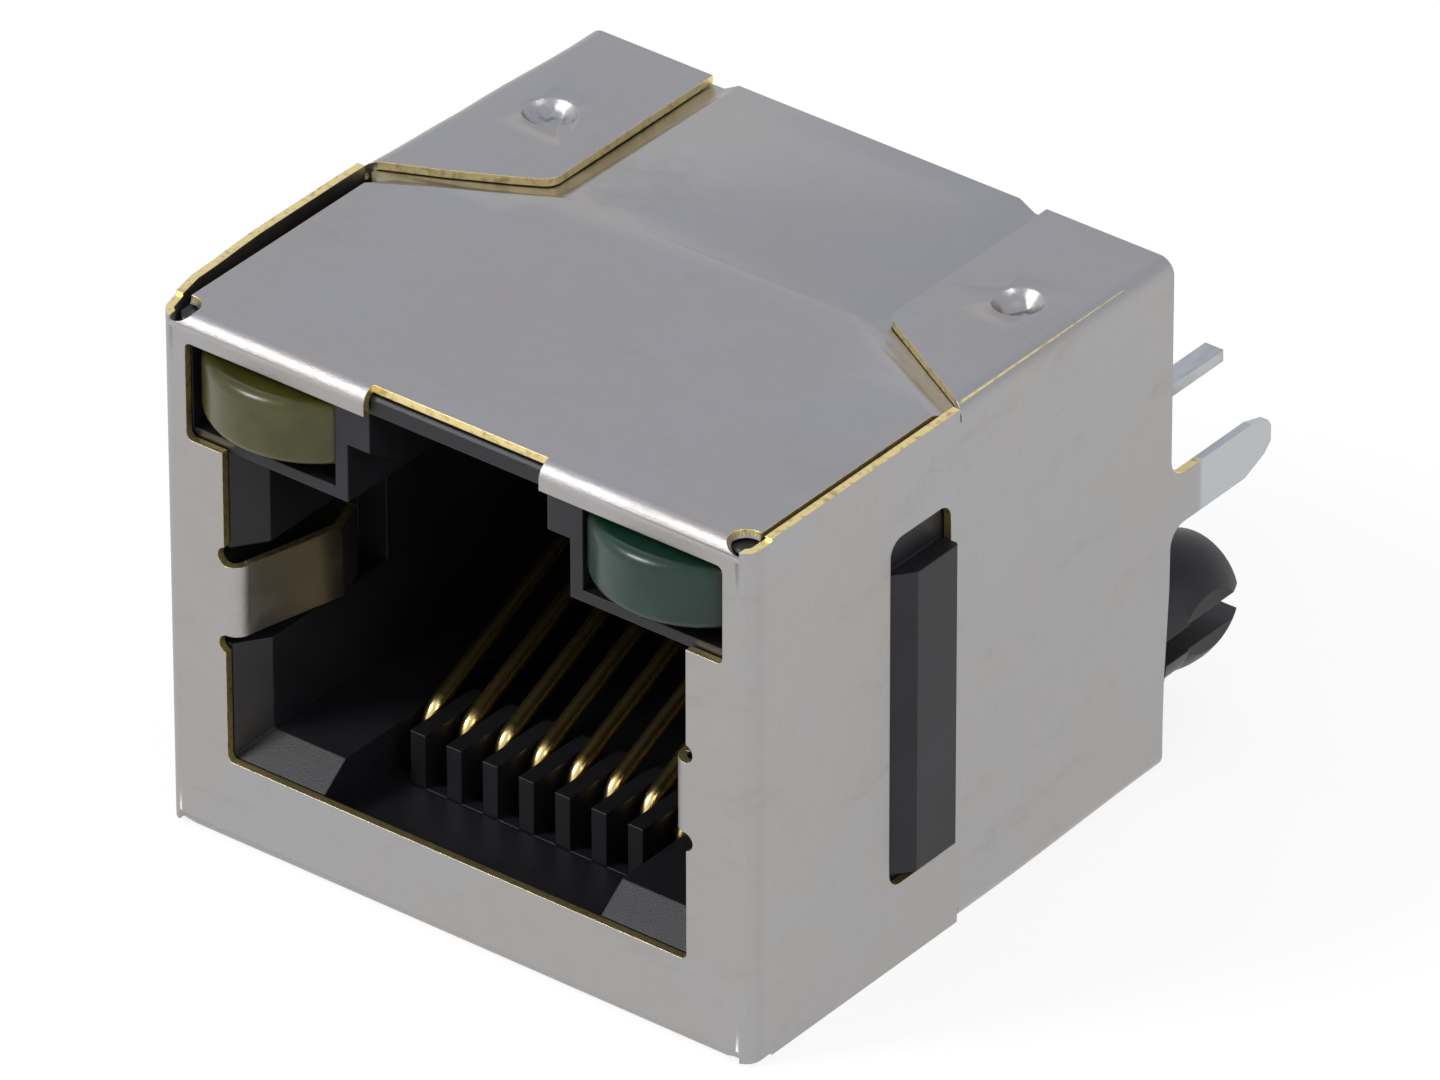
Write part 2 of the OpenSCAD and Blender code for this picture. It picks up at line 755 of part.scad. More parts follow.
// The part of a contact that the carrier holds: tail, two rear bends and the run under the floor.
module held_wire(row_z, d) {
    run_end = tail_rise - tail_bend_r;
    run_start = contact_front + contact_foot_r;
    translate([0, tail_rise + tail_bend_r, row_z])
        wire_run(body_d + tail_len - tail_rise - tail_bend_r, d);
    translate([0, tail_rise, row_z - tail_bend_r]) rotate([90, 0, 0]) mirror([0, 0, 1])
        wire_bend(90, tail_bend_r, d);
    translate([0, tail_rise, contact_run_z + tail_bend_r])
        cylinder(d = d, h = row_z - contact_run_z - 2 * tail_bend_r);
    translate([0, run_end, contact_run_z]) wire_bend(90, tail_bend_r, d);
    translate([0, run_start, contact_run_z]) wire_run(run_end - run_start, d);
}

// The sprung part: lower bend, front, upper bend, arm and its turned down end.
module sprung_wire(d) {
    translate([0, contact_front + contact_foot_r, contact_run_z]) mirror([0, 1, 0])
        wire_bend(90, contact_foot_r, d);
    translate([0, contact_front, contact_run_z + contact_foot_r])
        cylinder(d = d, h = contact_bend_z - contact_run_z - contact_foot_r);
    translate([0, contact_bend_y, contact_bend_z]) rotate([contact_rise, 0, 0]) {
        mirror([0, 0, 1]) mirror([0, 1, 0]) translate([0, 0, -contact_bend_r])
            wire_bend(90 - contact_rise, contact_bend_r, d);
        translate([0, 0, contact_bend_r]) wire_run(contact_arm, d);
        translate([0, contact_arm, contact_bend_r]) mirror([0, 0, 1])
            wire_bend(contact_rise + contact_fall, contact_end_r, d);
        translate([0, contact_arm, contact_bend_r - contact_end_r])
            rotate([-contact_rise - contact_fall, 0, 0])
            translate([0, 0, contact_end_r]) wire_run(contact_end, d);
    }
}

function contact_x(i) = (i - (contact_count - 1) / 2) * contact_pitch;
function contact_row(i) = tail_row_z + (i % 2) * tail_row_pitch;

module contact(i) {
    color(gold_color) on_board() translate([contact_x(i), 0, 0]) {
        held_wire(contact_row(i), wire_d);
        sprung_wire(wire_d);
    }
}

// Carrier: a base under the floor with a comb at its front, and a rear plate with a standoff pad.
module contact_carrier() {
    g = carrier_gap;
    slot = (contact_pitch - comb_tooth) / 2;
    plate = carrier_half - g;
    comb_end = comb_y + comb_len;
    color(carrier_color) on_board() difference() {
        union() {
            span([-rail_half + g, comb_y, carrier_z0], [rail_half - g, pocket_y + 0.5, floor_z]);
            span([-rail_half + g, comb_y, floor_z - e], [rail_half - g, comb_end, comb_z]);
            span([-plate, pocket_y + g, carrier_z0], [plate, housing_y1, carrier_top - g]);
            span([-foot_w / 2, peg_base, peg_z - foot_h / 2], [foot_w / 2, body_d, peg_z + foot_h / 2]);
        }
        for (i = [0 : contact_count - 1]) translate([contact_x(i), 0, 0]) {
            span([-slot, comb_y - 1, floor_z], [slot, comb_end + 1, comb_z + 1]);
            span([-slot, comb_y + comb_web, carrier_z0 + carrier_skin],
                [slot, comb_end + comb_web, comb_z + 1]);
            held_wire(contact_row(i), wire_d + 2 * wire_gap);
        }
    }
}

// ---- lamps ----

// Turned end of a lamp: a disc with rounded rims, from which the nose takes its curve.
module lamp_disc() {
    flat_r = lamp_nose_r - lamp_edge_r;
    rotate_extrude() {
        square([flat_r, lamp_h]);
        translate([0, lamp_edge_r]) square([lamp_nose_r, lamp_h - 2 * lamp_edge_r]);
        for (z = [lamp_edge_r, lamp_h - lamp_edge_r])
            translate([flat_r, z]) circle(lamp_edge_r);
    }
}

// Moulded lamp: a bulging nose with straight flanks, and a hole for each lead.
module lamp(tint) {
    half = lamp_w / 2;
    nose_y = lamp_nose_r - lamp_proud;
    color(tint) on_board() translate([lamp_x, 0, 0]) difference() {
        translate([0, 0, lamp_z0]) intersection() {
            span([-half, -lamp_proud - 1, -1], [half, lamp_d, lamp_h + 1]);
            union() {
                translate([0, nose_y, 0]) lamp_disc();
                span([-half, nose_y, 0], [half, lamp_d, lamp_h]);
            }
        }
        for (s = [-1, 1]) translate([s * lead_pitch / 2, 0, lamp_mid_z])
            span([-lead_w / 2, lamp_d - lead_grip, -lead_t / 2], [lead_w / 2, lamp_d + 1, lead_t / 2]);
    }
}

// Lead: held in the lamp, back along its channel, a step down and out to the board.
module lead(s) {
    w = lead_w;
    t = lead_t;
    r = lead_bend_r;
    held = lamp_d - lead_grip;
    bend_y = lead_step - r;
    out_y = lead_step + r;
    color(tin_color) on_board() translate([lamp_x + s * lead_pitch / 2, 0, 0]) {
        translate([0, held, lamp_mid_z]) flat_run(bend_y - held + e, w, t);
        translate([0, bend_y, lamp_mid_z - r]) across_width(-w / 2, w / 2) flat_quarter(r, t);
        span([-w / 2, lead_step - t / 2, lead_out_z + r - e],
            [w / 2, lead_step + t / 2, lamp_mid_z - r + e]);
        translate([0, out_y, lead_out_z + r]) across_width(-w / 2, w / 2)
            rotate(180) flat_quarter(r, t);
        translate([0, out_y - e, lead_out_z]) flat_run(body_d + lead_len - out_y + e, w, t);
    }
}

module yellow_led() {
    mirror([1, 0, 0]) lamp(yellow_color);
}

module green_led() {
    lamp(green_color);
}

shield();
housing();
contact_carrier();
contact(0);  // contact_1
contact(1);  // contact_2
contact(2);  // contact_3
contact(3);  // contact_4
contact(4);  // contact_5
contact(5);  // contact_6
contact(6);  // contact_7
contact(7);  // contact_8
yellow_led();
green_led();
mirror([1, 0, 0]) lead(1);  // yellow_led_outer_lead
mirror([1, 0, 0]) lead(-1);  // yellow_led_inner_lead
lead(-1);  // green_led_inner_lead
lead(1);  // green_led_outer_lead
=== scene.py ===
"""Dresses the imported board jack: finishes on every piece, a hand-worked shell, lamps, and the studio."""

import math

import bmesh
import bpy
from mathutils import Matrix, Vector, noise
from mathutils.bvhtree import BVHTree


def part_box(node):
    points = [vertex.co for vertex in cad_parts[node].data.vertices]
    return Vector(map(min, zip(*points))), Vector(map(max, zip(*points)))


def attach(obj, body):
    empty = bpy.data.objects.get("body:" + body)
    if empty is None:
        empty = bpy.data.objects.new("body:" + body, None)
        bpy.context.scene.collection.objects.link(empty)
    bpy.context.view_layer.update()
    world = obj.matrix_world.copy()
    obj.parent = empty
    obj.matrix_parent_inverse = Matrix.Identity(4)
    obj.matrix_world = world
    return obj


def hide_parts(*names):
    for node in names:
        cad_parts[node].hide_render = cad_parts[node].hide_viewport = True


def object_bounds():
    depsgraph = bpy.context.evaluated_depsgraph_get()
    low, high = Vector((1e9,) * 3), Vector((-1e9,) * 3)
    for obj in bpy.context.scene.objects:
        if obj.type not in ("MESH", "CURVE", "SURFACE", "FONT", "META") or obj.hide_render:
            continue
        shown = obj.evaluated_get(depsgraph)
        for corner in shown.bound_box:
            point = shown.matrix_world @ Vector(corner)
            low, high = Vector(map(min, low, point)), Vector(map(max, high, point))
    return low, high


bl_info = {
    "name": "Board jack dressing",
    "version": (1, 0, 0),
    "blender": (4, 5, 0),
    "location": "3D View > Sidebar > Board jack",
    "description": "Finishes, worn sheet metal, lamps and studio for a packed board jack",
    "category": "Object",
}

MM = 0.001
CONTACTS = [f"contact_{number}" for number in range(1, 9)]
LEADS = [
    "yellow_led_outer_lead",
    "yellow_led_inner_lead",
    "green_led_inner_lead",
    "green_led_outer_lead",
]

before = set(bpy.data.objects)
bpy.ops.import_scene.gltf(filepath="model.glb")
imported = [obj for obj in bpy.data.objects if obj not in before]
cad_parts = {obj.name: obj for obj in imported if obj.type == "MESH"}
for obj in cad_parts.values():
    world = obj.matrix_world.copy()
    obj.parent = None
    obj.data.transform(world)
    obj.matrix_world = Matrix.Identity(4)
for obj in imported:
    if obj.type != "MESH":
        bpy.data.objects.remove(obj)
CAD_LOW, CAD_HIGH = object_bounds()
SHELL_LOW, SHELL_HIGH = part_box("shield")
FRONT_Y = SHELL_LOW.y
HALF_WIDTH = SHELL_HIGH.x
BOTTOM_Z = SHELL_LOW.z
TOP_Z = SHELL_HIGH.z

# Where the dipped tin begins past the board face, and where it covers fully, in millimetres.
TIN_START = 0.95
TIN_FULL = 1.15

# How far behind the front face the front folds end, and where they are fullest, in millimetres.
FOLD_END = 0.75
FOLD_FULL = 0.3

# Landmarks of the folded sheet, in millimetres: from the front, from the middle plane, above the bottom.
FLAP_START = 7.42
FLAP_INNER = 4.6
FLAP_HELD = 6.0
FLAP_FREE = 7.7
FOLD_FOOT = 12.9
TOP_FLAP_FOOT = 13.13
BOTTOM_FLAP_HEAD = 0.22
FOLD_INSET = 0.42
WALL_INSET = 0.24

# The share of the left wall's bulge at places behind the front face, in millimetres.
BULGE_ALONG = [
    (0.0, 0.0),
    (1.6, 0.72),
    (4.0, 1.0),
    (7.0, 1.0),
    (9.0, 0.7),
    (11.0, 0.45),
    (14.6, 0.0),
]

# Heights over which the bulge grows, then depths and heights over which the right wall's lean grows,
# in millimetres.
BULGE_RISE = (5.0, 13.3)
LEAN_BACK = (8.5, 15.2)
LEAN_DROP = (5.5, 1.5)

# Spacing of the cuts that let the sheet bend, in millimetres, and how many there are.
DEPTH_CUT = 0.75
DEPTH_CUTS = 19
HEIGHT_CUT = 1.2
HEIGHT_CUTS = 10

# The torn floor of a crimp: its middle and its rim as shares of the crimp, its grain per metre, its depths.
TORN_MIDDLE = 0.3
TORN_RIM = 0.8
TEAR_CELLS = 3200.0
TEAR_WAVES = 2600.0
TEAR_WAVE_DEPTH = 0.16
TEAR_CELL_DEPTH = 0.18
TEAR_CELL_MEAN = 0.25

# Angle between faces above which an edge of the sheet stays sharp, in degrees.
SHARP_ANGLE = 24

# The way the camera is turned.
CAMERA_RIGHT = Vector((0.78771334, 0.61604072, -0.00123382))
CAMERA_UP = Vector((-0.32945463, 0.42295471, 0.844138))

# Place and size of the soft lights, and half the floor's width, in metres.
KEY_PLACE = (-0.22, -0.3, 0.3)
KEY_SIZE = 0.16
FILL_PLACE = (0.34, -0.12, 0.26)
FILL_SIZE = 0.2
FLOOR_REACH = 2.0

# How much of the floor's brightness is its own where the camera and reflections see it.
FLOOR_GLOW = 0.84


# ---- small maths ----


def smooth_step(low, high, value):
    """0 below low, 1 above high, and an even ease between them."""
    t = min(max((value - low) / (high - low), 0.0), 1.0)
    return t * t * (3 - 2 * t)


def along(points, value):
    """Reads a smooth curve through (place, height) points."""
    if value <= points[0][0]:
        return points[0][1]
    for (x0, h0), (x1, h1) in zip(points, points[1:]):
        if value <= x1:
            return h0 + (h1 - h0) * smooth_step(x0, x1, value)
    return points[-1][1]


# ---- shader building ----


class Level:
    """A shader socket that can stand in an arithmetic expression."""

    def __init__(self, finish, socket):
        self.finish = finish
        self.socket = socket

    def math(self, operation, first, second=0.0):
        node = self.finish.add("ShaderNodeMath", {0: first, 1: second}, operation=operation)
        return Level(self.finish, node.outputs[0])

    def __add__(self, other):
        return self.math("ADD", self, other)

    __radd__ = __add__

    def __sub__(self, other):
        return self.math("SUBTRACT", self, other)

    def __mul__(self, other):
        return self.math("MULTIPLY", self, other)

    __rmul__ = __mul__

    def at_most(self, other):
        return self.math("MINIMUM", self, other)

    def ease(self, low, high):
        """0 below low, 1 above high."""
        node = self.finish.add(
            "ShaderNodeMapRange",
            {"Value": self, "From Min": low, "From Max": high},
            interpolation_type="SMOOTHSTEP",
        )
        return Level(self.finish, node.outputs["Result"])


class Finish:
    """A node tree of one material or world, built from empty."""

    def __init__(self, owner):
        owner.use_nodes = True
        self.owner = owner
        self.tree = owner.node_tree
        self.tree.nodes.clear()

    def add(self, kind, inputs=None, **settings):
        """Adds a node: its settings first, then the values or links of its sockets."""
        node = self.tree.nodes.new(kind)
        stops = settings.pop("stops", None)
        for name, value in settings.items():
            setattr(node, name, value)
        if stops:
            elements = node.color_ramp.elements
            while len(elements) < len(stops):
                elements.new(0.5)
            for element, (place, color) in zip(elements, stops):
                element.position = place
                element.color = (*color, 1.0)
        for name, value in (inputs or {}).items():
            socket = node.inputs[name]
            if isinstance(value, Level):
                self.tree.links.new(value.socket, socket)
            elif socket.type == "RGBA" and len(value) == 3:
                socket.default_value = (*value, 1.0)
            else:
                socket.default_value = value
        return node

    def out(self, node, name):
        return Level(self, node.outputs[name])

    def place(self):
        """The surface position in millimetres."""
        coordinates = self.add("ShaderNodeTexCoord")
        scaled = self.add(
            "ShaderNodeVectorMath",
            {0: self.out(coordinates, "Object"), 3: 1000.0},
            operation="SCALE",
        )
        return self.out(scaled, "Vector")

    def axes(self, vector):
        parts = self.add("ShaderNodeSeparateXYZ", {"Vector": vector})
        return [self.out(parts, name) for name in "XYZ"]

    def stretch(self, vector, amounts):
        node = self.add("ShaderNodeVectorMath", {0: vector, 1: amounts}, operation="MULTIPLY")
        return self.out(node, "Vector")

    def grain(self, vector, scale, detail=3.0, roughness=0.5):
        """Fractal noise, about 0.5 on average."""
        node = self.add(
            "ShaderNodeTexNoise",
            {"Vector": vector, "Scale": scale, "Detail": detail, "Roughness": roughness},
        )
        return self.out(node, "Fac")

    def mix(self, amount, first, second, blend="MIX"):
        """Mixes two colours."""
        node = self.add(
            "ShaderNodeMix",
            {0: amount, 6: first, 7: second},
            data_type="RGBA",
            blend_type=blend,
        )
        return Level(self, node.outputs[2])

    def rounded(self, radius):
        """Normals softened over sharp edges."""
        node = self.add("ShaderNodeBevel", {"Radius": radius}, samples=6)
        return self.out(node, "Normal")

    def bump(self, height, depth, strength, normal):
        node = self.add(
            "ShaderNodeBump",
            {"Height": height, "Distance": depth, "Strength": strength, "Normal": normal},
        )
        return self.out(node, "Normal")

    def surface(self, **inputs):
        """The principled shader, joined to the output."""
        sockets = {name.replace("_", " "): value for name, value in inputs.items()}
        shader = self.add("ShaderNodeBsdfPrincipled", sockets)
        self.add("ShaderNodeOutputMaterial", {"Surface": self.out(shader, "BSDF")})
        return self.owner


def new_finish(name):
    return Finish(bpy.data.materials.new(name))


def put_on(node_name, material):
    """Gives a carried-over CAD node its finish."""
    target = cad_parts[node_name]
    for slot in target.material_slots:
        slot.material = material
    if not target.material_slots:
        target.data.materials.append(material)


# ---- finishes ----


def nickel_finish(look):
    """Satin nickel plate: mottled, faintly smudged, tinned towards the tips of the board tabs."""
    f = new_finish("nickel_plate")
    spot = f.place()
    depth = f.axes(spot)[1]
    cloud = f.grain(spot, 0.22, detail=4.0, roughness=0.6)
    mottle = f.grain(spot, 2.6, detail=5.0, roughness=0.62)
    speck = f.grain(spot, 34.0, detail=2.0)
    smudge = f.grain(f.stretch(spot, (0.5, 0.5, 1.6)), 0.55, detail=5.0, roughness=0.7)
    smudge = smudge.ease(0.54, 0.72)
    drag = f.grain(f.stretch(spot, (1.0, 6.0, 1.4)), 1.5, detail=3.0).ease(0.5, 0.74)
    shade = 0.93 + 0.1 * cloud + 0.04 * mottle + 0.03 * speck - 0.05 * smudge - 0.03 * drag
    tone = f.mix(cloud.ease(0.35, 0.65), look.nickel_warm, look.nickel_cool)
    gray = f.out(f.add("ShaderNodeCombineColor", {0: shade, 1: shade, 2: shade}), "Color")
    plate = f.mix(1.0, tone, gray, "MULTIPLY")
    color = f.mix(depth.ease(TIN_START, TIN_FULL), plate, look.tin)
    fold = depth.ease(FRONT_Y / MM + FOLD_END, FRONT_Y / MM + FOLD_FULL)
    rough = look.nickel_roughness + 0.1 * (mottle - 0.5) + 0.1 * smudge + 0.12 * fold
    orange_peel = f.grain(f.stretch(spot, (1.0, 1.6, 1.6)), 4.2, detail=6.0, roughness=0.72)
    dents = f.grain(spot, 7.0, detail=6.0, roughness=0.7)
    height = 0.6 * dents + 0.4 * speck + 2.4 * fold * orange_peel
    normal = f.bump(height, 0.012 * MM, 0.5, f.rounded(0.03 * MM))
    return f.surface(Base_Color=color, Metallic=1.0, Roughness=rough, Normal=normal)


def brass_finish(look):
    """The sheet's bare sheared edges."""
    f = new_finish("sheared_brass")
    spot = f.place()
    depth = f.axes(spot)[1]
    streak = f.grain(spot, 5.0, detail=3.0)
    color = f.mix(streak.ease(0.45, 0.75), look.brass, look.brass_dark)
    color = f.mix(depth.ease(TIN_START, TIN_FULL), color, look.tin)
    normal = f.bump(streak, 0.02 * MM, 0.6, f.rounded(0.03 * MM))
    return f.surface(Base_Color=color, Metallic=1.0, Roughness=0.34 + 0.14 * streak, Normal=normal)


def plastic_finish(look, name, color):
    """Black moulding with a fine eroded skin."""
    f = new_finish(name)
    spot = f.place()
    cloud = f.grain(spot, 0.5, detail=3.0)
    skin = f.grain(spot, 26.0, detail=4.0, roughness=0.6)
    shade = f.mix(cloud.ease(0.35, 0.7), color, [channel * 1.35 for channel in color])
    normal = f.bump(skin, 0.01 * MM, 0.45, f.rounded(0.05 * MM))
    return f.surface(
        Base_Color=shade,
        Roughness=look.plastic_roughness + 0.12 * (skin - 0.5),
        Specular_IOR_Level=0.3,
        Normal=normal,
    )


def gold_finish(look):
    """Polished gold plate on bent wire."""
    f = new_finish("gold_plate")
    spot = f.place()
    cloud = f.grain(spot, 1.4, detail=4.0)
    color = f.mix(cloud.ease(0.3, 0.7), look.gold, look.gold_deep)
    normal = f.bump(cloud, 0.01 * MM, 0.3, f.rounded(0.07 * MM))
    return f.surface(Base_Color=color, Metallic=1.0, Roughness=0.16 + 0.1 * cloud, Normal=normal)


def tin_finish(look):
    """Dipped tin on the lamp leads: soft runs along the wire."""
    f = new_finish("dipped_tin")
    spot = f.place()
    runs = f.grain(f.stretch(spot, (2.0, 0.6, 2.0)), 1.6, detail=4.0)
    color = f.mix(runs.ease(0.35, 0.7), look.tin, [channel * 0.86 for channel in look.tin])
    normal = f.bump(runs, 0.03 * MM, 0.5, f.rounded(0.06 * MM))
    return f.surface(Base_Color=color, Metallic=1.0, Roughness=0.26 + 0.14 * runs, Normal=normal)


def lens_finish(name, color, deep):
    """Tinted, cloudy lens resin: lighter where it is thin, under a glossy skin."""
    f = new_finish(name)
    spot = f.place()
    cloud = f.grain(spot, 0.9, detail=3.0)
    shade = f.mix(cloud.ease(0.3, 0.75), color, deep)
    normal = f.bump(f.grain(spot, 6.0, detail=3.0), 0.006 * MM, 0.35, f.rounded(0.08 * MM))
    return f.surface(
        Base_Color=shade,
        Roughness=0.3,
        Specular_IOR_Level=0.3,
        Subsurface_Weight=0.15,
        Subsurface_Radius=(1.0, 1.0, 1.0),
        Subsurface_Scale=0.3 * MM,
        Coat_Weight=0.12,
        Coat_Roughness=0.1,
        Normal=normal,
    )


# ---- shell ----


def sheared_faces(mesh, sheet, crimps, crimp_r):
    """Faces of the sheet's cut edges: straight in from them the metal runs on past its thickness."""
    mesh.faces.ensure_lookup_table()
    tree = BVHTree.FromBMesh(mesh)
    start = 0.02 * sheet
    thick = 1.7 * sheet
    clear = 1.5 * crimp_r
    reach = SHELL_HIGH.y - SHELL_LOW.y
    found = set()
    for face in mesh.faces:
        middle = face.calc_center_median()
        if any((middle - crimp).length < clear for crimp in crimps):
            continue
        distance = tree.ray_cast(middle - face.normal * start, -face.normal, reach)[3]
        if distance is None or distance > thick:
            found.add(face.index)
    return found


def cut_across(mesh, axis, places):
    """Cuts the mesh along planes, so that it can take a soft bend there."""
    normal = Vector((0, 0, 0))
    normal[axis] = 1.0
    for place in places:
        point = normal * place
        geometry = mesh.verts[:] + mesh.edges[:] + mesh.faces[:]
        bmesh.ops.bisect_plane(mesh, geom=geometry, plane_co=point, plane_no=normal, dist=1e-7)


def spring_out(mesh, shape):
    """The left wall has sprung outwards along its open seam, and the right wall leans in at its foot."""
    wall_inner = HALF_WIDTH - WALL_INSET * MM
    fold_inner = HALF_WIDTH - FOLD_INSET * MM
    flap_inner = FLAP_INNER * MM
    for vertex in mesh.verts:
        x, y, z = vertex.co
        back = (y - FRONT_Y) / MM
        rise = (z - BOTTOM_Z) / MM
        behind = back > FLAP_START
        free = smooth_step(FLAP_HELD, FLAP_FREE, abs(x) / MM)
        in_fold = behind and rise > FOLD_FOOT and x < -fold_inner
        on_top_flap = behind and rise > TOP_FLAP_FOOT and x < -flap_inner
        on_bottom_flap = behind and rise < BOTTOM_FLAP_HEAD and x > flap_inner
        if x < -wall_inner or in_fold or on_top_flap:
            share = along(BULGE_ALONG, back) * smooth_step(*BULGE_RISE, rise)
            vertex.co.x -= shape.wall_bulge * share * free
        if x > wall_inner or on_bottom_flap:
            share = smooth_step(*LEAN_BACK, back) * smooth_step(*LEAN_DROP, rise)
            vertex.co.x -= shape.wall_lean * share * free


def crumple_crimp(mesh, centre, radius):
    """Breaks the round bottom of a crimp into the small torn facets of stabbed sheet."""
    near = [
        face
        for face in mesh.faces
        if (face.calc_center_median() - centre).length < radius and face.normal.z > 0.2
    ]
    edges = list({edge for face in near for edge in face.edges})
    bmesh.ops.subdivide_edges(mesh, edges=edges, cuts=1, use_grid_fill=True)
    for vertex in mesh.verts:
        reach = (vertex.co - centre).length
        if reach < radius * TORN_RIM and vertex.co.z < centre.z - 0.03 * MM:
            cell = noise.voronoi(vertex.co * TEAR_CELLS)[0][0]
            wave = noise.noise(vertex.co * TEAR_WAVES)
            tear = TEAR_WAVE_DEPTH * wave - TEAR_CELL_DEPTH * (cell - TEAR_CELL_MEAN)
            fade = 1 - smooth_step(radius * TORN_MIDDLE, radius * TORN_RIM, reach)
            vertex.co.z += tear * MM * fade


def worked_shell(shape):
    """The folded sheet as a hand-sized real one is: sprung wall, leaning foot and crumpled crimps."""
    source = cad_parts["shield"]
    mesh = bmesh.new()
    mesh.from_mesh(source.data)
    bmesh.ops.remove_doubles(mesh, verts=mesh.verts, dist=2e-7)
    bmesh.ops.recalc_face_normals(mesh, faces=mesh.faces)
    cut_across(mesh, 1, [FRONT_Y + step * DEPTH_CUT * MM for step in range(1, DEPTH_CUTS + 1)])
    cut_across(mesh, 2, [BOTTOM_Z + step * HEIGHT_CUT * MM for step in range(1, HEIGHT_CUTS + 1)])
    crimps = [
        Vector((side * shape.crimp_x, FRONT_Y + shape.crimp_y, level))
        for side in (-1, 1)
        for level in (TOP_Z, BOTTOM_Z)
    ]
    sheared = sheared_faces(mesh, shape.sheet, crimps, shape.crimp_r)
    for face in mesh.faces:
        face.material_index = 1 if face.index in sheared else 0
    for crimp in crimps[::2]:
        crumple_crimp(mesh, crimp, shape.crimp_r)
    spring_out(mesh, shape)
    data = bpy.data.meshes.new("worked_shell")
    mesh.to_mesh(data)
    mesh.free()
    for polygon in data.polygons:
        polygon.use_smooth = True
    data.set_sharp_from_angle(angle=math.radians(SHARP_ANGLE))
    shell = bpy.data.objects.new("worked_shell", data)
    bpy.context.scene.collection.objects.link(shell)
    return shell


# ---- sizes and colours that a user may change ----


def color_property(name, description, default):
    return bpy.props.FloatVectorProperty(
        name=name,
        description=description,
        default=default,
        size=3,
        min=0.0,
        max=1.0,
        subtype="COLOR",
    )


def length_property(name, description, default):
    return bpy.props.FloatProperty(
        name=name, description=description, default=default, min=0.0, unit="LENGTH", precision=5
    )


class JackLook(bpy.types.PropertyGroup):
    """Colours and gloss of the jack's finishes."""

    nickel_warm: color_property("Nickel, warm", "Plate where it looks warmer", (0.37, 0.352, 0.335))
    nickel_cool: color_property("Nickel, cool", "Plate where it looks cooler", (0.355, 0.35, 0.352))
    nickel_roughness: bpy.props.FloatProperty(
        name="Nickel roughness", description="How satin the plate is", default=0.34, min=0.0, max=1.0
    )
    brass: color_property("Brass", "Bare edge of the sheet", (0.86, 0.7, 0.32))
    brass_dark: color_property("Brass, dark", "Tarnish on the bare edge", (0.5, 0.4, 0.18))
    tin: color_property("Tin", "Dipped tabs and leads", (0.48, 0.49, 0.5))
    gold: color_property("Gold", "Plate on the contacts", (0.95, 0.74, 0.32))
    gold_deep: color_property("Gold, deep", "Plate where it looks deeper", (0.8, 0.58, 0.2))
    housing: color_property("Housing", "Main moulding", (0.0075, 0.007, 0.0085))
    carrier: color_property("Carrier", "Moulding that holds the contacts", (0.0065, 0.0062, 0.0075))
    plastic_roughness: bpy.props.FloatProperty(
        name="Plastic roughness", description="How dull the mouldings are", default=0.42, min=0.0, max=1.0
    )
    yellow: color_property("Yellow lens", "Left lamp", (0.045, 0.043, 0.008))
    yellow_deep: color_property("Yellow lens, deep", "Left lamp where it is thick", (0.03, 0.028, 0.006))
    green: color_property("Green lens", "Right lamp", (0.007, 0.026, 0.017))
    green_deep: color_property("Green lens, deep", "Right lamp where it is thick", (0.005, 0.017, 0.011))


class JackShape(bpy.types.PropertyGroup):
    """Sizes of the shell's small irregularities."""

    sheet: length_property("Sheet", "Thickness of the sheet", 0.2 * MM)
    wall_bulge: length_property("Wall bulge", "How far the left wall has sprung out", 0.42 * MM)
    wall_lean: length_property("Wall lean", "How far the right wall leans in at its foot", 0.14 * MM)
    crimp_x: length_property("Crimp offset", "Crimp from the middle plane", 6.48 * MM)
    crimp_y: length_property("Crimp depth", "Crimp from the front face", 11.65 * MM)
    crimp_r: length_property("Crimp radius", "Reach of the crumpled metal", 0.75 * MM)


class JackStudio(bpy.types.PropertyGroup):
    """The camera and the light."""

    lens: bpy.props.FloatProperty(name="Lens", description="Focal length", default=437.5, unit="CAMERA")
    camera_place: bpy.props.FloatVectorProperty(
        name="Camera",
        description="Where the camera stands",
        default=(0.2011953, -0.2625992, 0.2102681),
        subtype="TRANSLATION",
    )
    key: bpy.props.FloatProperty(
        name="Key", description="Power of the key light", default=1.6, min=0.0, unit="POWER"
    )
    fill: bpy.props.FloatProperty(
        name="Fill", description="Power of the fill light", default=0.5, min=0.0, unit="POWER"
    )
    sky: color_property("Sky", "Colour of the soft light from above", (0.74, 0.76, 0.86))
    floor: color_property("Floor", "Colour of the floor", (0.9, 0.9, 0.9))


# ---- pieces ----


class JACK_OT_shell(bpy.types.Operator):
    """Replaces the plain folded sheet with the worked one"""

    bl_idname = "jack.shell"
    bl_label = "Shell"

    def execute(self, context):
        scene = context.scene
        shell = worked_shell(scene.jack_shape)
        shell.data.materials.append(nickel_finish(scene.jack_look))
        shell.data.materials.append(brass_finish(scene.jack_look))
        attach(shell, "root")
        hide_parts("shield")
        return {"FINISHED"}


class JACK_OT_mouldings(bpy.types.Operator):
    """Finishes the housing and the contact carrier"""

    bl_idname = "jack.mouldings"
    bl_label = "Mouldings"

    def execute(self, context):
        look = context.scene.jack_look
        put_on("housing", plastic_finish(look, "housing_moulding", look.housing))
        put_on("contact_carrier", plastic_finish(look, "carrier_moulding", look.carrier))
        return {"FINISHED"}


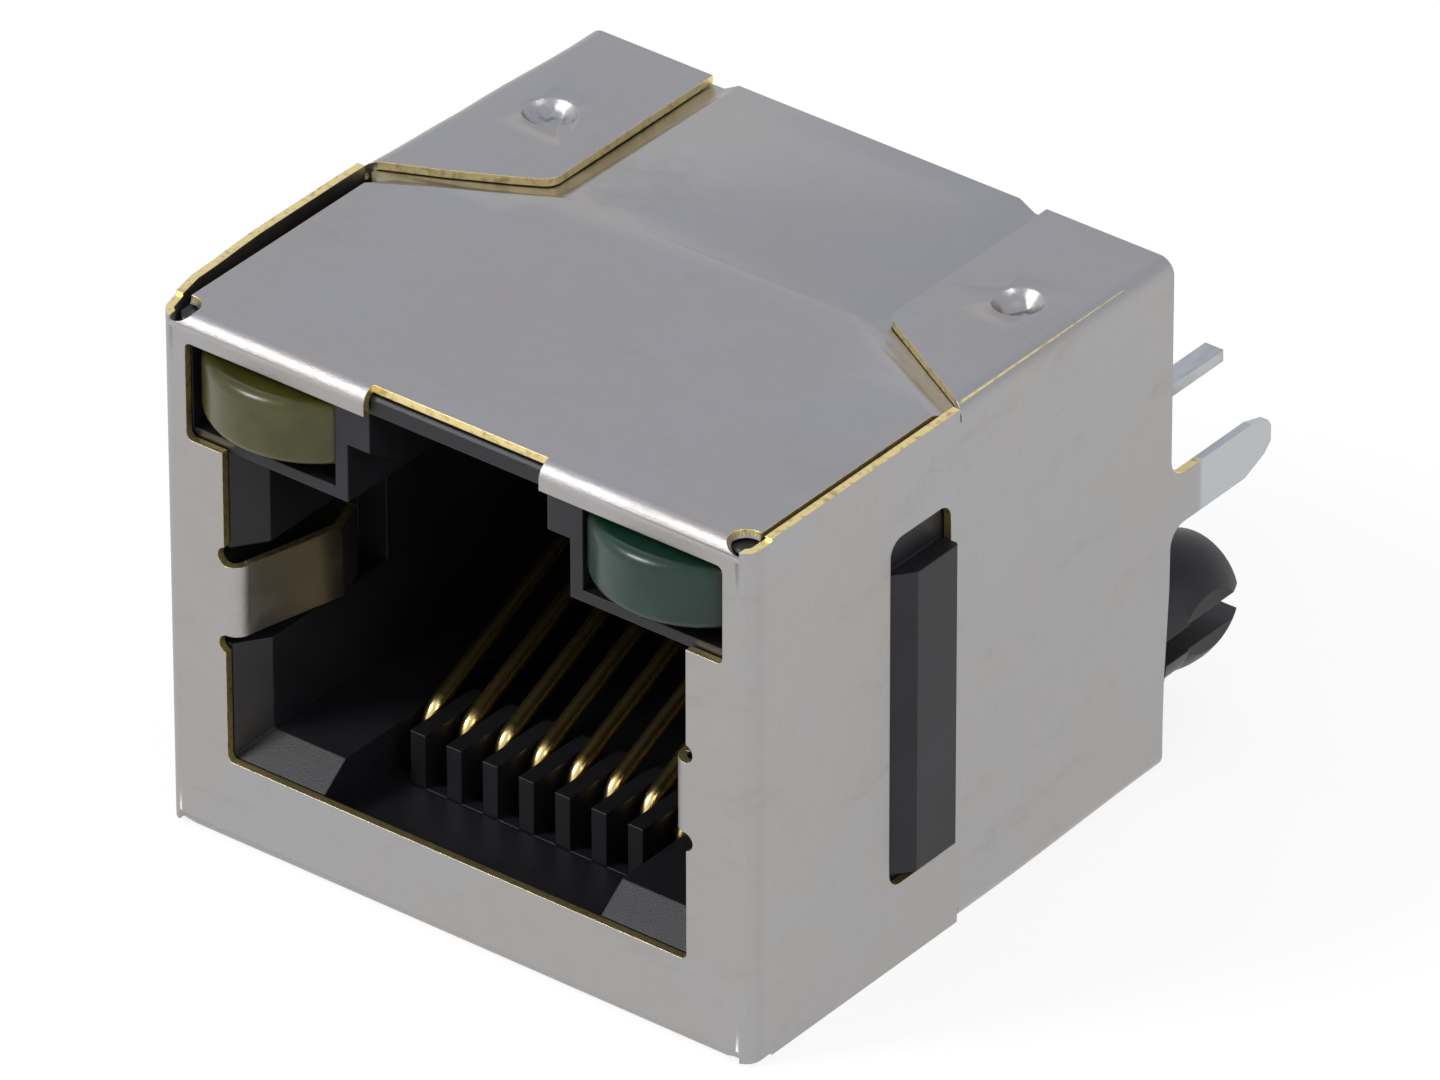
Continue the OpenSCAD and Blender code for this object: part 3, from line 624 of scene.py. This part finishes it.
class JACK_OT_contacts(bpy.types.Operator):
    """Finishes the sprung contacts"""

    bl_idname = "jack.contacts"
    bl_label = "Contacts"

    def execute(self, context):
        gold = gold_finish(context.scene.jack_look)
        for name in CONTACTS:
            put_on(name, gold)
        return {"FINISHED"}


class JACK_OT_lamps(bpy.types.Operator):
    """Finishes the two lamps and their leads"""

    bl_idname = "jack.lamps"
    bl_label = "Lamps"

    def execute(self, context):
        look = context.scene.jack_look
        put_on("yellow_led", lens_finish("yellow_lens_resin", look.yellow, look.yellow_deep))
        put_on("green_led", lens_finish("green_lens_resin", look.green, look.green_deep))
        tin = tin_finish(look)
        for name in LEADS:
            put_on(name, tin)
        return {"FINISHED"}


def soft_light(name, place, size, power, aim):
    data = bpy.data.lights.new(name, "AREA")
    data.shape = "DISK"
    data.size = size
    data.energy = power
    light = bpy.data.objects.new(name, data)
    light.location = place
    light.rotation_euler = (Vector(aim) - Vector(place)).to_track_quat("-Z", "Y").to_euler()
    bpy.context.scene.collection.objects.link(light)


class JACK_OT_studio(bpy.types.Operator):
    """Sets the camera, the floor and the soft light"""

    bl_idname = "jack.studio"
    bl_label = "Studio"

    def execute(self, context):
        scene = context.scene
        studio = scene.jack_studio
        self.camera(scene, studio)
        self.floor(scene, studio)
        self.sky(scene, studio)
        middle = (CAD_LOW + CAD_HIGH) / 2
        soft_light("key", KEY_PLACE, KEY_SIZE, studio.key, middle)
        soft_light("fill", FILL_PLACE, FILL_SIZE, studio.fill, middle)
        scene.view_settings.view_transform = "Standard"
        return {"FINISHED"}

    def camera(self, scene, studio):
        backward = CAMERA_RIGHT.cross(CAMERA_UP)
        turn = Matrix((CAMERA_RIGHT, CAMERA_UP, backward)).transposed().to_4x4()
        data = bpy.data.cameras.new("camera")
        data.lens = studio.lens
        data.clip_start = 0.01
        data.clip_end = 50.0
        camera = bpy.data.objects.new("camera", data)
        camera.matrix_world = Matrix.Translation(studio.camera_place) @ turn
        scene.collection.objects.link(camera)
        scene.camera = camera

    def floor(self, scene, studio):
        data = bpy.data.meshes.new("floor")
        signs = ((-1, -1), (1, -1), (1, 1), (-1, 1))
        corners = [(x * FLOOR_REACH, y * FLOOR_REACH, CAD_LOW.z) for x, y in signs]
        data.from_pydata(corners, [], [(0, 1, 2, 3)])
        floor = bpy.data.objects.new("floor", data)
        scene.collection.objects.link(floor)
        f = new_finish("pale_floor")
        path = f.add("ShaderNodeLightPath")
        camera, glossy, passing = (
            f.out(path, f"Is {kind} Ray") for kind in ("Camera", "Glossy", "Transmission")
        )
        seen = (camera + glossy + passing).at_most(1.0)
        paper = f.add("ShaderNodeBsdfDiffuse", {"Color": studio.floor})
        glow = f.add("ShaderNodeEmission", {"Color": (1.0, 1.0, 1.0), "Strength": 1.0})
        blend = f.add(
            "ShaderNodeMixShader",
            {0: seen * FLOOR_GLOW, 1: f.out(paper, "BSDF"), 2: f.out(glow, "Emission")},
        )
        f.add("ShaderNodeOutputMaterial", {"Surface": f.out(blend, "Shader")})
        data.materials.append(f.owner)

    def sky(self, scene, studio):
        world = bpy.data.worlds.new("sky")
        scene.world = world
        f = Finish(world)
        coordinates = f.add("ShaderNodeTexCoord")
        overhead = f.axes(f.out(coordinates, "Generated"))[2].ease(0.12, 0.6)
        color = f.mix(overhead, (1.0, 1.0, 1.0), studio.sky)
        shine = f.add("ShaderNodeBackground", {"Color": color, "Strength": 1.0})
        f.add("ShaderNodeOutputWorld", {"Surface": f.out(shine, "Background")})


class JACK_PT_panel(bpy.types.Panel):
    """Lists the dressing steps and their settings"""

    bl_label = "Board jack"
    bl_idname = "JACK_PT_panel"
    bl_space_type = "VIEW_3D"
    bl_region_type = "UI"
    bl_category = "Board jack"

    def draw(self, context):
        scene = context.scene
        for step in STEPS:
            self.layout.operator(step.bl_idname)
        for group in (scene.jack_look, scene.jack_shape, scene.jack_studio):
            box = self.layout.box()
            for name in group.__annotations__:
                box.prop(group, name)


STEPS = [JACK_OT_studio, JACK_OT_shell, JACK_OT_mouldings, JACK_OT_contacts, JACK_OT_lamps]
GROUPS = {"jack_look": JackLook, "jack_shape": JackShape, "jack_studio": JackStudio}


def register():
    for group in GROUPS.values():
        bpy.utils.register_class(group)
    for name, group in GROUPS.items():
        setattr(bpy.types.Scene, name, bpy.props.PointerProperty(type=group))
    for step in [*STEPS, JACK_PT_panel]:
        bpy.utils.register_class(step)


def unregister():
    for step in reversed([*STEPS, JACK_PT_panel]):
        bpy.utils.unregister_class(step)
    for name in GROUPS:
        delattr(bpy.types.Scene, name)
    for group in reversed(GROUPS.values()):
        bpy.utils.unregister_class(group)


def main():
    register()
    for step in STEPS:
        area, name = step.bl_idname.split(".")
        getattr(getattr(bpy.ops, area), name)()


if __name__ == "__main__":
    main()
